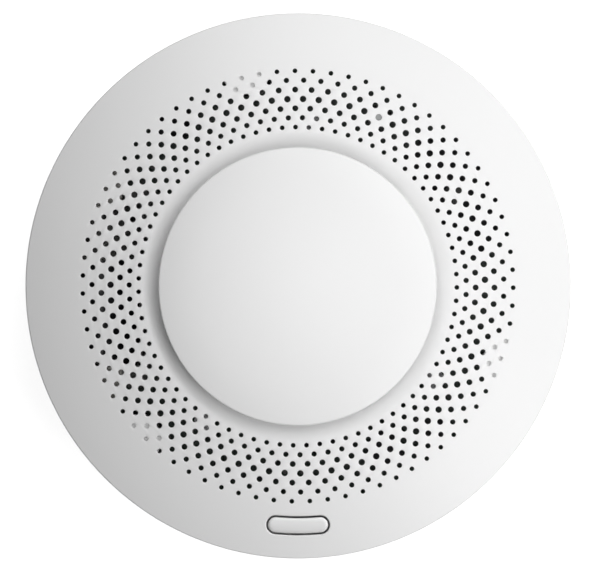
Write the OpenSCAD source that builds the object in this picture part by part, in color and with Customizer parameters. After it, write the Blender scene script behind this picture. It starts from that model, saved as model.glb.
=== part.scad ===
// Round smoke detector on a bayonet bracket.
// Origin: centre of the bracket's back face. +Z points out of the perforated face. Millimetres.

/* [Cover] */
// outside diameter of the cover
body_d = 120; // [112:0.5:132]
// height of the cover's outer edge above the mounting surface
rim_z = 27; // [26.5:0.25:29]
// radius of the sphere that the perforated ring follows
crown_r = 166; // [150:1:190]
// wall of the perforated ring
ring_t = 1.8; // [1.4:0.1:2]
// wall of the skirt
skirt_t = 2; // [1.6:0.1:2]
// free height between the skirt and the mounting surface
skirt_gap = 1; // [0.6:0.1:2]
// width of the flat broken off the cover's outer edge
edge_break = 0.35; // [0.2:0.05:0.6]
// width from the cap's edge to the radius at which the ring turns down into the groove
groove_w = 5.15; // [4.8:0.05:5.6]
// radius of that turn
crest_round = 5; // [4.6:0.1:5.2]
// depth of the groove below the crest
groove_depth = 1.9; // [1.5:0.1:2.1]

/* [Grille] */
// rows of holes
rows = 7; // [3:2:7]
// holes in each row
row_holes = 75; // [45:15:75]
// distance of the first row inside the crest
grille_start = 0.67; // [0.4:0.01:0.9]
// distance of the last row from the button's middle line
grille_margin = 5.41; // [5.2:0.01:6]
// diameter of the middle row's holes
hole_d_mid = 1.43; // [1.15:0.01:1.5]
// diameter of the first and last row's holes
hole_d_end = 1.04; // [0.8:0.01:1.1]
// angle of the first hole of the first row
row_phase = -0.42; // [-1:0.02:1]
// number of the hole that shows the indicator light
light_hole = 13; // [12:1:14]

/* [Centre cap] */
// diameter of the cap
cap_d = 60.9; // [56:0.1:64]
// height of the cap's edge above the groove
cap_step = 5.3; // [4:0.1:6.5]
// thickness of the flange that seats the cap in the groove
cap_seat_t = 1.6; // [1.2:0.1:2]
// radius where the cap's top starts to fall more steeply
cap_turn_r = 22; // [18:0.5:26]
// radius of the flat spot at the middle of the cap
cap_flat_r = 2; // [1:0.5:3]
// slope at that radius
cap_turn_slope = 9.9; // [8:0.1:11]
// slope at the cap's edge
cap_edge_slope = 17.6; // [14:0.1:22]
// wall of the cap
cap_t = 1.8; // [1.4:0.1:2]
// number of snap legs
cap_legs = 4; // [3:1:6]

/* [Screw posts] */
// angles of the three posts
post_a = [103.5, 223.5, 340.3];
// distance of the posts from the skirt's inner face
post_edge = 9; // [8.7:0.1:9.3]
// diameter of a post
post_d = 11; // [10:0.2:11.4]
// depth of the blind holes over a post
dimple_depth = 0.9; // [0.6:0.1:1.2]
// diameter of the screw's shank
screw_d = 2.5; // [2.2:0.1:3]
// diameter of the screw's head
screw_head_d = 5.6; // [5:0.1:6]
// height of the screw's head
screw_head_h = 1.8; // [1.4:0.1:2]
// length of the shank
screw_len = 9.3; // [7:0.1:12]
// diameter of the board screws' shank
board_screw_d = 2; // [1.8:0.1:2.2]
// diameter of the board screws' head
board_head_d = 4.4; // [4:0.1:4.8]
// height of the board screws' head
board_head_h = 1.6; // [1.4:0.1:1.8]

/* [Test button] */
// distance of the button's middle line from the cover's outer edge
button_edge = 7.3; // [7.1:0.1:7.6]
// width of the button's face
button_w = 3.4; // [3:0.1:3.6]
// length of the button's face along the arc
button_l = 13.2; // [11:0.2:14]
// gap around the button
button_gap = 0.4; // [0.35:0.05:0.5]
// height of the button's face above the ring
button_proud = 0.25; // [0.1:0.05:0.5]
// radius of the button's crown across its width
button_crown = 4; // [3.5:0.25:8]
// travel of the button
button_travel = 0.5; // [0.3:0.05:0.6]
// diameter of the stem
stem_d = 3; // [2.6:0.1:3.2]
// distance of the stem and switch inside the button's middle line
stem_inset = 1.4; // [1.3:0.1:1.6]
// outside diameter of the return spring
spring_d = 5.4; // [5.2:0.1:5.6]
// thickness of the spring's wire
spring_wire = 0.55; // [0.4:0.05:0.55]
// turns of the spring
spring_turns = 5; // [3:1:6]

/* [Back shell] */
// height of the back shell's floor above the mounting surface
floor_z = 4.5; // [4:0.1:5]
// thickness of the floor
floor_t = 1.8; // [1.5:0.1:2.2]
// height of the low wall inside the skirt
low_wall_h = 3.2; // [2:0.2:4]
// diameter of the board's standing bosses
boss_d = 6; // [5.4:0.2:7]
// distance of the board screws from the chamber
board_screw_gap = 11.3; // [11:0.1:11.8]
// angles of the board screws
board_screw_a = [85, 235, 325];

/* [Bracket] */
// thickness of the bracket's plate
plate_t = 1.8; // [1.4:0.1:2.4]
// diameter of the opening in the middle
opening_d = 40; // [36:0.5:44]
// distance between the slots of the first pair
slot_pitch_x = 60; // [59:0.5:64]
// distance between the slots of the second pair
slot_pitch_y = 70; // [66:0.5:72]
// end-to-end length of a slot
slot_l = 10; // [8:0.5:12]
// width of a slot
slot_w = 4.2; // [3.8:0.1:5]
// angle of the first hook
hook_a = 20; // [19:0.5:21]
// arc covered by a hook
hook_arc = 12; // [10:0.5:13]
// distance of the hooks from the bracket's edge
hook_edge = 9.8; // [9.6:0.1:10.2]
// thickness of a hook's neck
hook_neck = 2; // [1.6:0.1:2.4]
// width of a hook's head
hook_head = 4.8; // [4.4:0.1:5]
// height of a hook's head
hook_head_h = 1.55; // [1.2:0.05:1.8]
// turn between locked and free
twist = 14; // [13.5:0.5:15]

/* [Circuit board] */
// height of the board's front face
board_z = 13; // [12.8:0.1:13.4]
// thickness of the board
board_t = 1.6; // [1.2:0.1:1.6]
// gap between the board and the skirt
board_gap = 2.5; // [2.3:0.1:2.8]

/* [Optical chamber] */
// gap between the chamber and the cap's legs
chamber_gap = 1.8; // [1.6:0.1:2]
// height of the chamber over the board
chamber_h = 18.2; // [16:0.2:18.4]
// thickness of floor and lid
chamber_t = 1.6; // [1.2:0.1:2]
// number of vanes
vanes = 16; // [12:1:20]
// thickness of a vane
vane_t = 0.9; // [0.7:0.1:1.2]
// columns of openings in the insect screen
screen_cols = 48; // [36:4:52]
// rows of openings in the insect screen
screen_rows = 5; // [3:1:5]
// thickness of the insect screen
screen_t = 0.35; // [0.25:0.05:0.45]
// direction of the infrared emitter
emitter_a = 200; // [190:1:210]
// angle between emitter and photodiode
scatter_a = 130; // [120:1:140]
// diameter of both optical parts
optic_d = 5; // [4.8:0.1:5.2]
// length of both optical parts without their collar
optic_l = 8.4; // [8:0.1:8.8]
// side of the block that holds an optical part
holder_side = 8; // [7:0.2:8.4]

/* [Horn] */
// gap between the horn and the chamber
horn_gap = 0.4; // [0.3:0.1:0.8]
// gap between the horn and the skirt
horn_edge = 4; // [3.8:0.1:4.6]
// direction of the horn
horn_a = 30; // [28:0.5:32]
// height of the horn over the board
horn_h = 11.5; // [10.5:0.1:12]
// height of the metal disc's seat over the board
disc_seat = 5.6; // [5:0.1:6.4]
// thickness of the metal disc
disc_t = 0.25; // [0.2:0.05:0.3]
// wall of the horn
horn_wall = 1.2; // [1:0.1:1.4]
// diameter of the sound hole
sound_hole_d = 5; // [4:0.2:6]
// diameter of the ceramic layer
ceramic_d = 18; // [16:0.5:20]
// thickness of the ceramic layer
ceramic_t = 0.2; // [0.15:0.05:0.3]

/* [Parts on the board] */
// length of the microcontroller's body
chip_l = 10; // [9.4:0.2:11]
// width of the microcontroller's body
chip_w = 3.9; // [3.6:0.1:4.2]
// spacing of its leads
lead_pitch = 1.27; // [1:0.01:1.27]
// diameter of the first capacitor
capacitor_d1 = 8; // [7:0.5:8.5]
// diameter of the second capacitor
capacitor_d2 = 6.3; // [5:0.1:6.5]
// diameter of the inductor's flanges
inductor_d = 9; // [8:0.2:9.4]
// height of the inductor
inductor_h = 7; // [6:0.2:8]
// length of a chip resistor
resistor_l = 1.6; // [1.4:0.1:2]
// width of a chip resistor
resistor_w = 0.8; // [0.7:0.1:1.2]
// height of a chip resistor
resistor_h = 0.55; // [0.4:0.05:0.7]
// spacing of the chip resistors
resistor_pitch = 3; // [2.8:0.1:3.2]

/* [Battery] */
// distance of the cell's axis from the skirt's inner face
cell_inset = 14.4; // [14.2:0.1:14.6]
// diameter of the cell
cell_d = 16.8; // [16:0.1:17]
// length of the cell with its button end
cell_l = 34.2; // [33:0.1:34.4]
// travel of the drawer
drawer_travel = 27; // [24:0.5:27]
// half of the drawer front's width
drawer_half = 21; // [20.8:0.1:21.1]
// length of the stops that end the drawer's travel
stop_l = 1.2; // [1:0.1:1.2]
// thickness of the drawer's floor
tray_t = 1.2; // [1:0.1:1.3]

/* [Hidden] */
$fn = 96;
eps = 0.01;
run = 0.05;
body_r = body_d / 2;
skirt_in = body_r - skirt_t;
cap_r = cap_d / 2;
crest_r = cap_r + groove_w;
button_at = body_r - button_edge;
stem_at = button_at - stem_inset;
post_at = skirt_in - post_edge;
row_r = crest_r - grille_start;
row_pitch = (button_at - grille_margin - row_r) / (rows - 1);
crown_z = rim_z - sqrt(crown_r * crown_r - body_r * body_r);
rim_a = asin(body_r / crown_r);
crest_a = asin(crest_r / crown_r);
turn_r = crest_r - crest_round * sin(crest_a);
turn_z = crown_z + (crown_r - crest_round) * cos(crest_a);
land_z = turn_z + crest_round - groove_depth;
cap_edge_z = land_z + cap_step;
collar_in = cap_r - 1.45;
collar_out = collar_in + 2.2;
collar_z = land_z - 4.2;
leg_out = collar_in - 0.2;
leg_t = 1.8;
cap_mid_r = cap_turn_r / sin(cap_turn_slope);
cap_flat_slope = asin(cap_flat_r / cap_mid_r);
cap_side_r = (cap_r - cap_turn_r) / (sin(cap_edge_slope) - sin(cap_turn_slope));
cap_side_x = cap_r - cap_side_r * sin(cap_edge_slope);
cap_side_z = cap_edge_z - cap_side_r * cos(cap_edge_slope);
cap_mid_z = cap_side_z - (cap_mid_r - cap_side_r) * cos(cap_turn_slope);
middle_row = (rows - 1) / 2;
row_step = 360 / row_holes;
light_a = light_hole * row_step + row_phase + (middle_row % 2) * row_step / 2;
light_r = row_r + row_pitch * middle_row;
light_z = crown_z + sqrt(crown_r * crown_r - light_r * light_r);
floor_top = floor_z + floor_t;
head_seat_z = floor_z + screw_head_h + 0.4;
post_z = head_seat_z + 2.3;
board_back = board_z - board_t;
sleeve_z = crown_z + sqrt(crown_r * crown_r - pow(skirt_in - 1, 2)) - 3.1;
button_top = crown_z + sqrt(pow(crown_r + button_proud, 2) - button_at * button_at);
button_a = asin(button_at / (crown_r + button_proud));
slot_w_out = button_w + 2 * button_gap + 2.4;
slot_l_out = button_l + 2 * button_gap + 2.4;
flange_h = 1.2;
flange_z = sleeve_z - run - flange_h;
switch_h = 3.3;
switch_side = 6.2;
switch_top = board_z + switch_h;
plunger_d = 3.4;
plunger_z = switch_top + 1.7;
bracket_r = skirt_in - 0.8;
hook_at = bracket_r - hook_edge;
hook_list = [for (i = [0:2]) hook_a + 120 * i];
board_d = 2 * (skirt_in - board_gap);
chamber_d = 2 * (leg_out - leg_t - chamber_gap);
board_screw_at = chamber_d / 2 + board_screw_gap;
horn_in = chamber_d / 2 + horn_gap;
horn_d = skirt_in - horn_edge - horn_in;
horn_at = horn_in + horn_d / 2;
chamber_top = board_z + chamber_h;
vane_z = board_z + chamber_t;
lid_z = chamber_top - chamber_t;
screen_in = chamber_d / 2 - 1.2;
optic_z = vane_z + holder_side / 2;
optic_back = screen_in - 6.4;
cell_r = cell_d / 2;
cell_x = cell_inset - skirt_in;
cell_z = floor_top + run + tray_t + 0.25 + cell_r;
nub_l = 0.9;
cell_end = cell_l / 2;
tray_half = cell_end + 2.1;
rail_h = 3.65;
rail_top = floor_top + run + rail_h;
stop_x = stop_l + 0.07 - sqrt(skirt_in * skirt_in - drawer_half * drawer_half);
tail_x = stop_x + drawer_travel + 1.3;
window_gap = 0.3;
front_top = cell_z + cell_r + 0.8;

// fan with its tip at c, between two angles from the vertical
module fan(c, a0, a1) {
    far = 260;
    translate(c)
        polygon([[0, 0], [far * sin(a0), far * cos(a0)], [far * sin(a1), far * cos(a1)]]);
}

// curved wall of thickness t inside radius r around c
module bow(c, r, t, a0, a1) {
    intersection() {
        difference() {
            translate(c)
                circle(r = r, $fn = 240);
            translate(c)
                circle(r = r - t, $fn = 240);
        }
        fan(c, a0, a1);
    }
}

// block inside the wall where two bows meet, so that they are one wall
module bow_key(c, r, t, a) {
    translate(c)
        rotate(-a)
            translate([-t / 4, r - 0.75 * t])
                square(t / 2);
}

// upright block of revolution between two radii and two heights
module hoop(r0, r1, z0, z1) {
    rotate_extrude()
        translate([r0, z0])
            square([r1 - r0, z1 - z0]);
}

// part of a hoop that starts at angle a0
module hoop_part(r0, r1, z0, z1, a0, arc) {
    rotate([0, 0, a0])
        rotate_extrude(angle = arc)
            translate([r0, z0])
                square([r1 - r0, z1 - z0]);
}

module at(r, a) {
    rotate([0, 0, a])
        translate([r, 0, 0])
            children();
}

// round-ended block bent along a circle, at the bottom of the face; the ends are a hair wider, so that walls cross
module bent_block(r, w, l, z0, z1) {
    half = (l - w) / 2 / r * 180 / PI;
    hoop_part(r - w / 2, r + w / 2, z0, z1, -90 - half, 2 * half);
    for (s = [-1, 1])
        at(r, -90 + s * half)
            translate([0, 0, z0])
                cylinder(d = w + 0.04, h = z1 - z0, $fn = 48);
}

module cross_recess(w, l, h) {
    for (a = [0, 90])
        rotate([0, 0, a])
            translate([-l / 2, -w / 2, 0])
                cube([l, w, h]);
}

module mounting_bracket() color([0.9, 0.9, 0.88]) {
    difference() {
        union() {
            cylinder(r = bracket_r, h = plate_t, $fn = 180);
            hoop(bracket_r - 1.6, bracket_r, plate_t - eps, floor_z - run);
            hoop(opening_d / 2, opening_d / 2 + 1.6, plate_t - eps, floor_z - 1);
            hoop(hook_at - 5.4, hook_at - 4.2, plate_t - eps, plate_t + 1.4);
            for (i = [0:5])
                at(opening_d / 2 + 1, hook_a + 30 + 60 * i)
                    translate([0, -0.6, 0])
                        cube([bracket_r - opening_d / 2 - 2, 1.2, plate_t + 1.2]);
        }
        translate([0, 0, -1])
            cylinder(d = opening_d, h = 10);
        for (s = [-1, 1]) {
            translate([s * slot_pitch_x / 2, 0, 0])
                mount_slot(0);
            translate([0, s * slot_pitch_y / 2, 0])
                mount_slot(90);
        }
        for (a = hook_list)
            hoop_part(hook_at - hook_head / 2 - 0.4, hook_at - hook_neck / 2, -1, plate_t + 3, a - hook_arc / 2, hook_arc);
    }
    for (a = hook_list) {
        hoop_part(hook_at - hook_neck / 2, hook_at + hook_neck / 2, 0.4, floor_top + run + eps, a - hook_arc / 2, hook_arc);
        hoop_part(hook_at - hook_head / 2, hook_at + hook_head / 2, floor_top + run, floor_top + run + hook_head_h,
            a - hook_arc / 2, hook_arc);
    }
}

module mount_slot(a) {
    rotate([0, 0, a])
        translate([0, 0, -1])
            linear_extrude(10)
                union() {
                    square([slot_l - slot_w, slot_w], center = true);
                    for (s = [-1, 1])
                        translate([s * (slot_l - slot_w) / 2, 0])
                            circle(d = slot_w, $fn = 48);
                }
}

module rear_housing() color([0.93, 0.93, 0.92]) {
    wall_out = skirt_in - 0.1;
    guide_in = tray_half + 0.4;
    neck_in = hook_at - hook_neck / 2 - 0.5;
    neck_out = hook_at + hook_neck / 2 + 0.5;
    head_in = hook_at - hook_head / 2 - 0.5;
    head_out = hook_at + hook_head / 2 + 0.5;
    difference() {
        union() {
            translate([0, 0, floor_z])
                cylinder(r = wall_out, h = floor_t, $fn = 180);
            difference() {
                hoop(wall_out - 1.6, wall_out, floor_top - eps, floor_top + low_wall_h);
                translate([-body_r, -drawer_half - window_gap, floor_top])
                    cube([20, 2 * (drawer_half + window_gap), 20]);
            }
            for (a = post_a)
                at(post_at, a)
                    translate([0, 0, floor_z])
                        cylinder(d = 9.2, h = post_z - floor_z);
            for (a = board_screw_a)
                at(board_screw_at, a)
                    translate([0, 0, floor_z + 0.5])
                        cylinder(d = boss_d, h = board_back - floor_z - 0.5);
            hoop(16, 17.2, floor_top - eps, board_back);
            for (s = [-1, 1])
                mirror([0, s < 0 ? 1 : 0, 0]) {
                    translate([stop_x - 0.2, guide_in, floor_top - eps])
                        cube([tail_x - stop_x, 1.6, rail_h + 1.4]);
                    translate([stop_x - stop_l, guide_in - 0.3, floor_top - eps])
                        cube([stop_l, 1.3, rail_h + 1.4]);
                    translate([stop_x + 2.8, guide_in - 1.4, rail_top + 0.25])
                        cube([25, 3, 1]);
                }
        }
        for (a = post_a)
            at(post_at, a) {
                translate([0, 0, floor_z - 1])
                    cylinder(d = screw_head_d + 0.5, h = head_seat_z - floor_z + 1);
                cylinder(d = screw_d + 0.3, h = post_z + 1);
            }
        for (a = board_screw_a)
            at(board_screw_at, a)
                translate([0, 0, floor_top])
                    cylinder(d = board_screw_d + 0.1, h = 10);
        for (a = hook_list) {
            hoop_part(neck_in, neck_out, floor_z - 1, floor_top + 1, a - hook_arc / 2 - twist - 0.7,
                hook_arc + twist + 1.4);
            hoop_part(head_in, head_out, floor_z - 1, floor_top + 1, a - hook_arc / 2 - twist - 0.7, hook_arc + 1.4);
        }
    }
}

module cover_profile() {
    difference() {
        union() {
            bow([0, crown_z], crown_r, ring_t, crest_a, rim_a);
            bow([turn_r, turn_z], crest_round, ring_t, -60, crest_a);
            bow_key([0, crown_z], crown_r, ring_t, crest_a);
            translate([collar_in, collar_z])
                square([collar_out - collar_in, land_z - collar_z]);
            translate([skirt_in, skirt_gap])
                square([skirt_t, rim_z - skirt_gap]);
        }
        translate([body_r, rim_z])
            rotate((90 - rim_a) / 2)
                translate([-edge_break, -2])
                    square(4);
    }
}

function post_gap(r, a) = min([for (p = post_a) norm([r * cos(a) - post_at * cos(p), r * sin(a) - post_at * sin(p)])]);

// holes of the grille: those over a post, or all the others
module grille_holes(over_post) {
    for (k = [0:rows - 1])
        for (i = [0:row_holes - 1]) {
            hole_r = row_r + row_pitch * k;
            hole_a = i * row_step + row_phase + (k % 2) * row_step / 2;
            hole_d = hole_d_end + (hole_d_mid - hole_d_end) * (1 - abs(k - middle_row) / middle_row);
            if ((post_gap(hole_r, hole_a) < post_d / 2) == over_post)
                at(hole_r, hole_a)
                    translate([0, 0, rim_z - 1])
                        cylinder(d = hole_d, h = 12, $fn = 24);
        }
}

module front_cover() color([0.95, 0.95, 0.95]) {
    difference() {
        union() {
            rotate_extrude($fn = 240)
                cover_profile();
            intersection() {
                for (a = post_a)
                    at(post_at, a)
                        translate([0, 0, post_z])
                            cylinder(d = post_d, h = rim_z + 8 - post_z);
                translate([0, 0, crown_z])
                    sphere(r = crown_r - dimple_depth, $fn = 240);
            }
            intersection() {
                bent_block(button_at, slot_w_out, slot_l_out, sleeve_z, sleeve_z + 8);
                translate([0, 0, crown_z])
                    sphere(r = crown_r - ring_t / 2, $fn = 240);
            }
        }
        bent_block(button_at, slot_w_out - 2.4, slot_l_out - 2.4, sleeve_z - 1, sleeve_z + 11);
        for (a = post_a)
            at(post_at, a)
                translate([0, 0, post_z - 1])
                    cylinder(d = screw_d + 0.1, h = head_seat_z + screw_len + 2 - post_z);
        translate([-body_r - 1, -drawer_half - window_gap, floor_top])
            cube([8, 2 * (drawer_half + window_gap), front_top + window_gap - floor_top]);
        grille_holes(false);
        difference() {
            grille_holes(true);
            translate([0, 0, crown_z])
                sphere(r = crown_r - dimple_depth, $fn = 240);
        }
    }
}

module centre_cap() color([0.95, 0.95, 0.95]) {
    low = cap_mid_z + (cap_mid_r - cap_t) * cos(cap_flat_slope);
    rotate_extrude($fn = 180) {
        translate([0, low]) square([cap_flat_r, cap_t * cos(cap_flat_slope)]);
        bow([0, cap_mid_z], cap_mid_r, cap_t, cap_flat_slope, cap_turn_slope);
        bow([cap_side_x, cap_side_z], cap_side_r, cap_t, cap_turn_slope, cap_edge_slope);
        bow_key([0, cap_mid_z], cap_mid_r, cap_t, cap_turn_slope);
        translate([cap_r - cap_t, land_z])
            square([cap_t, cap_step]);
        translate([leg_out - leg_t, land_z])
            square([cap_r - leg_out + leg_t, cap_seat_t]);
        translate([leg_out - leg_t, land_z - 2])
            square([leg_t, 3]);
    }
    for (i = [0:cap_legs - 1]) {
        hoop_part(leg_out - leg_t + 0.2, leg_out - 0.1, collar_z - 1, land_z - 1, i * 360 / cap_legs + 40, 20);
        hoop_part(leg_out - 1, leg_out + 0.7, collar_z - 0.9, collar_z - 0.1, i * 360 / cap_legs + 40.5, 19);
    }
}

module housing_screws() color([0.7, 0.7, 0.72]) {
    for (a = post_a)
        at(post_at, a) {
            difference() {
                translate([0, 0, head_seat_z - screw_head_h])
                    cylinder(d = screw_head_d, h = screw_head_h);
                translate([0, 0, head_seat_z - screw_head_h - eps])
                    cross_recess(0.14 * screw_head_d, 0.57 * screw_head_d, 1.1);
            }
            translate([0, 0, head_seat_z - eps])
                cylinder(d = screw_d, h = screw_len);
        }
}

module circuit_board() color([0.1, 0.35, 0.2]) {
    difference() {
        translate([0, 0, board_back])
            cylinder(d = board_d, h = board_t, $fn = 180);
        translate([-body_r - 1, -drawer_half - 0.7, board_back - 1])
            cube([body_r + 1 + cell_x + cell_r + 2.7, 2 * drawer_half + 1.4, 4]);
        for (a = post_a)
            at(post_at, a)
                translate([0, 0, board_back - 1])
                    cylinder(d = post_d + 0.8, h = 4);
        for (a = board_screw_a)
            at(board_screw_at, a)
                translate([0, 0, board_back - 1])
                    cylinder(d = board_screw_d + 0.5, h = 4);
    }
}

module board_screws() color([0.7, 0.7, 0.72]) {
    for (a = board_screw_a)
        at(board_screw_at, a) {
            difference() {
                translate([0, 0, board_z])
                    cylinder(d = board_head_d, h = board_head_h);
                translate([0, 0, board_z + board_head_h - 0.9])
                    cross_recess(0.16 * board_head_d, 0.6 * board_head_d, 1);
            }
            translate([0, 0, floor_top + 0.5])
                cylinder(d = board_screw_d, h = board_z - floor_top - 0.5 + eps);
        }
}

module optic_holder(a) {
    at(0, a)
        difference() {
            translate([optic_back - holder_side, -holder_side / 2, vane_z - eps])
                cube(holder_side);
            translate([0, 0, optic_z])
                rotate([0, 90, 0])
                    cylinder(d = optic_d + 0.04, h = optic_back + 2.4);
        }
}

module chamber_base() color([0.08, 0.08, 0.09]) {
    difference() {
        union() {
            translate([0, 0, board_z])
                cylinder(d = chamber_d, h = chamber_t);
            hoop(screen_in - 1.1, screen_in - 0.1, vane_z - eps, vane_z + 0.9);
        }
        for (a = [emitter_a, emitter_a + scatter_a])
            at(optic_back + 0.5, a)
                translate([0, -2.2, 0])
                    cube([1.2, 4.4, 30]);
    }
    optic_holder(emitter_a);
    optic_holder(emitter_a + scatter_a);
}

module chamber_cover() color([0.06, 0.06, 0.07]) {
    translate([0, 0, lid_z])
        cylinder(d = chamber_d, h = chamber_t);
    hoop(screen_in - 1.1, screen_in - 0.1, lid_z - 0.9, lid_z + eps);
    for (i = [0:vanes - 1])
        at(0, i * 360 / vanes)
            translate([0, 0, vane_z])
                linear_extrude(lid_z - vane_z + eps)
                    translate([screen_in - 1.2, 0])
                        polygon([[-3.2, -1.6], [-1.6, 1.1], [0, -1.6], [0, -1.6 + 1.6 * vane_t],
                            [-1.6, 1.1 + 1.6 * vane_t], [-3.2, -1.6 + 1.6 * vane_t]]);
}

module insect_screen() color([0.55, 0.56, 0.58]) {
    band = (lid_z - vane_z) / screen_rows;
    gap_w = 2 * PI * screen_in / screen_cols * 0.68;
    difference() {
        hoop(screen_in, screen_in + screen_t, vane_z, lid_z);
        for (j = [0:screen_rows - 1])
            for (i = [0:screen_cols - 1])
                at(screen_in - 1, i * 360 / screen_cols)
                    translate([0, -gap_w / 2, vane_z + band * (j + 0.14)])
                        cube([3, gap_w, band * 0.72]);
    }
}

// domed optical part that looks at the chamber's middle
module optic(a) {
    at(0, a) {
        translate([0, 0, optic_z])
            rotate([0, 90, 0])
                rotate_extrude()
                    union() {
                        intersection() {
                            translate([0, optic_back - optic_l + optic_d / 2])
                                circle(d = optic_d);
                            square([optic_d, optic_back - optic_l + optic_d / 2]);
                        }
                        translate([0, optic_back - optic_l + optic_d / 2 - eps])
                            square([optic_d / 2, optic_l - optic_d / 2 + 2 * eps]);
                        translate([0, optic_back])
                            square([optic_d / 2 + 0.4, 0.8]);
                    }
        for (s = [-1, 1])
            translate([optic_back + 0.7, s * 1.27 - 0.25, board_z])
                cube([0.5, 0.5, optic_z - board_z]);
    }
}

module infrared_led() color([0.45, 0.5, 0.7]) optic(emitter_a);

module photodiode() color([0.12, 0.1, 0.14]) optic(emitter_a + scatter_a);

module horn_body() color([0.1, 0.1, 0.11]) {
    at(horn_at, horn_a)
        difference() {
            union() {
                translate([0, 0, board_z])
                    cylinder(d = horn_d, h = horn_h);
                translate([0, 0, board_z])
                    cylinder(d = sound_hole_d + 4, h = horn_h + 1.1);
            }
            translate([0, 0, board_z - 1])
                cylinder(d = horn_d - 2 * horn_wall, h = disc_seat + 1);
            translate([0, 0, board_z])
                cylinder(d = horn_d - 4 * horn_wall, h = horn_h - horn_wall - 0.4);
            cylinder(d = sound_hole_d, h = 60);
        }
}

module piezo_disc() color([0.85, 0.7, 0.35]) {
    at(horn_at, horn_a)
        translate([0, 0, board_z + disc_seat - disc_t])
            cylinder(d = horn_d - 2 * horn_wall - 0.2, h = disc_t);
}

module piezo_ceramic() color([0.9, 0.88, 0.82]) {
    at(horn_at, horn_a)
        translate([0, 0, board_z + disc_seat - disc_t - ceramic_t])
            cylinder(d = ceramic_d, h = ceramic_t);
}

module horn_contacts() color([0.85, 0.75, 0.4]) {
    at(horn_at, horn_a)
        for (r = [0, 5, horn_d / 2 - 3.2])
            translate([r, 0, board_z]) {
                cylinder(d = 2.2, h = 0.8, $fn = 32);
                cylinder(d = 1.2, h = disc_seat - disc_t - (r < ceramic_d / 2 ? ceramic_t : 0), $fn = 32);
            }
}

module indicator_led() color([0.8, 0.9, 0.8, 0.9]) {
    at(light_r, light_a) {
        translate([-1.1, -1.1, board_z])
            cube([2.2, 2.2, 1]);
        translate([0, 0, board_z + 0.9])
            cylinder(d = 1.8, h = 1.1, $fn = 48);
    }
}

module light_pipe() color([0.85, 0.87, 0.88, 0.6]) {
    shoulder_z = light_z - ring_t - 0.9;
    at(light_r, light_a)
        difference() {
            union() {
                translate([0, 0, board_z])
                    cylinder(d = 5.2, h = 4.2, $fn = 48);
                translate([0, 0, board_z])
                    cylinder(d = 2.8, h = shoulder_z - board_z, $fn = 48);
                translate([0, 0, board_z])
                    cylinder(d = hole_d_mid - 0.1, h = light_z - 0.2 - board_z, $fn = 48);
            }
            translate([0, 0, board_z - 1])
                cylinder(d = 3.5, h = 3.6, $fn = 48);
        }
}

module microcontroller() color([0.1, 0.1, 0.1]) {
    translate([4, 21.5 - board_d / 2, board_z]) {
        difference() {
            translate([-chip_l / 2, -chip_w / 2, 0.1])
                cube([chip_l, chip_w, 1.5]);
            translate([0.8 - chip_l / 2, 0.75 - chip_w / 2, 1.3])
                cylinder(d = 0.7, h = 1, $fn = 24);
        }
        for (s = [-1, 1])
            for (i = [0:7])
                translate([(i - 3.5) * lead_pitch - 0.2, 0, 0])
                    mirror([0, s < 0 ? 1 : 0, 0]) {
                        translate([0, chip_w / 2 + 0.25, 0])
                            cube([0.4, 0.9, 0.2]);
                        translate([0, chip_w / 2 + 0.25, 0])
                            cube([0.4, 0.2, 0.9]);
                        translate([0, chip_w / 2 - 0.15, 0.7])
                            cube([0.4, 0.6, 0.2]);
                    }
    }
}

module capacitors() color([0.15, 0.18, 0.3]) {
    for (p = [[14.8, -62.2, capacitor_d1], [12.3, -46.9, capacitor_d2]])
        at(board_d / 2 - p[0], p[1])
            translate([0, 0, board_z])
                rotate_extrude()
                    difference() {
                        square([p[2] / 2, p[2] + 2]);
                        translate([p[2] / 2 + 0.3, 1.4])
                            circle(d = 1.2, $fn = 24);
                        translate([0, p[2] + 1.8])
                            square([p[2] / 2 - 0.7, 1]);
                    }
}

module inductor() color([0.2, 0.2, 0.22]) {
    at(board_d / 2 - 9.9, 127.9)
        translate([0, 0, board_z])
            rotate_extrude()
                union() {
                    square([inductor_d / 2, 1.2]);
                    square([inductor_d / 2 - 0.7, inductor_h]);
                    translate([0, inductor_h - 1.2])
                        square([inductor_d / 2, 1.2]);
                }
}

module chip_resistors() color([0.12, 0.12, 0.13]) {
    for (i = [0:4])
        for (j = [0, 1])
            translate([resistor_pitch * i - 18.8, 12.5 - board_d / 2 + resistor_pitch * j, board_z])
                cube([resistor_l, resistor_w, resistor_h]);
}

module contact_plate(y0, y1) {
    translate([cell_x - 4.5, y0, board_z])
        cube([9, y1 - y0, cell_z + 4.8 - board_z]);
}

module battery_contact_positive() color([0.78, 0.78, 0.76]) {
    face = cell_end + run;
    contact_plate(face, face + 0.4);
    translate([cell_x - 4.5, face, board_z])
        cube([9, drawer_half + 4.5 - face, 0.4]);
}

module battery_contact_negative() color([0.78, 0.78, 0.76]) {
    face = cell_end + run;
    mirror([0, 1, 0]) {
        contact_plate(face + 0.8, face + 1.2);
        translate([cell_x - 4.5, face + 0.8, board_z])
            cube([9, drawer_half + 4.5 - face - 0.8, 0.4]);
        translate([cell_x, face, cell_z])
            rotate([-90, 0, 0])
                cylinder(r1 = 1.6, r2 = 3, h = 0.8 + eps, $fn = 48);
    }
}

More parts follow.
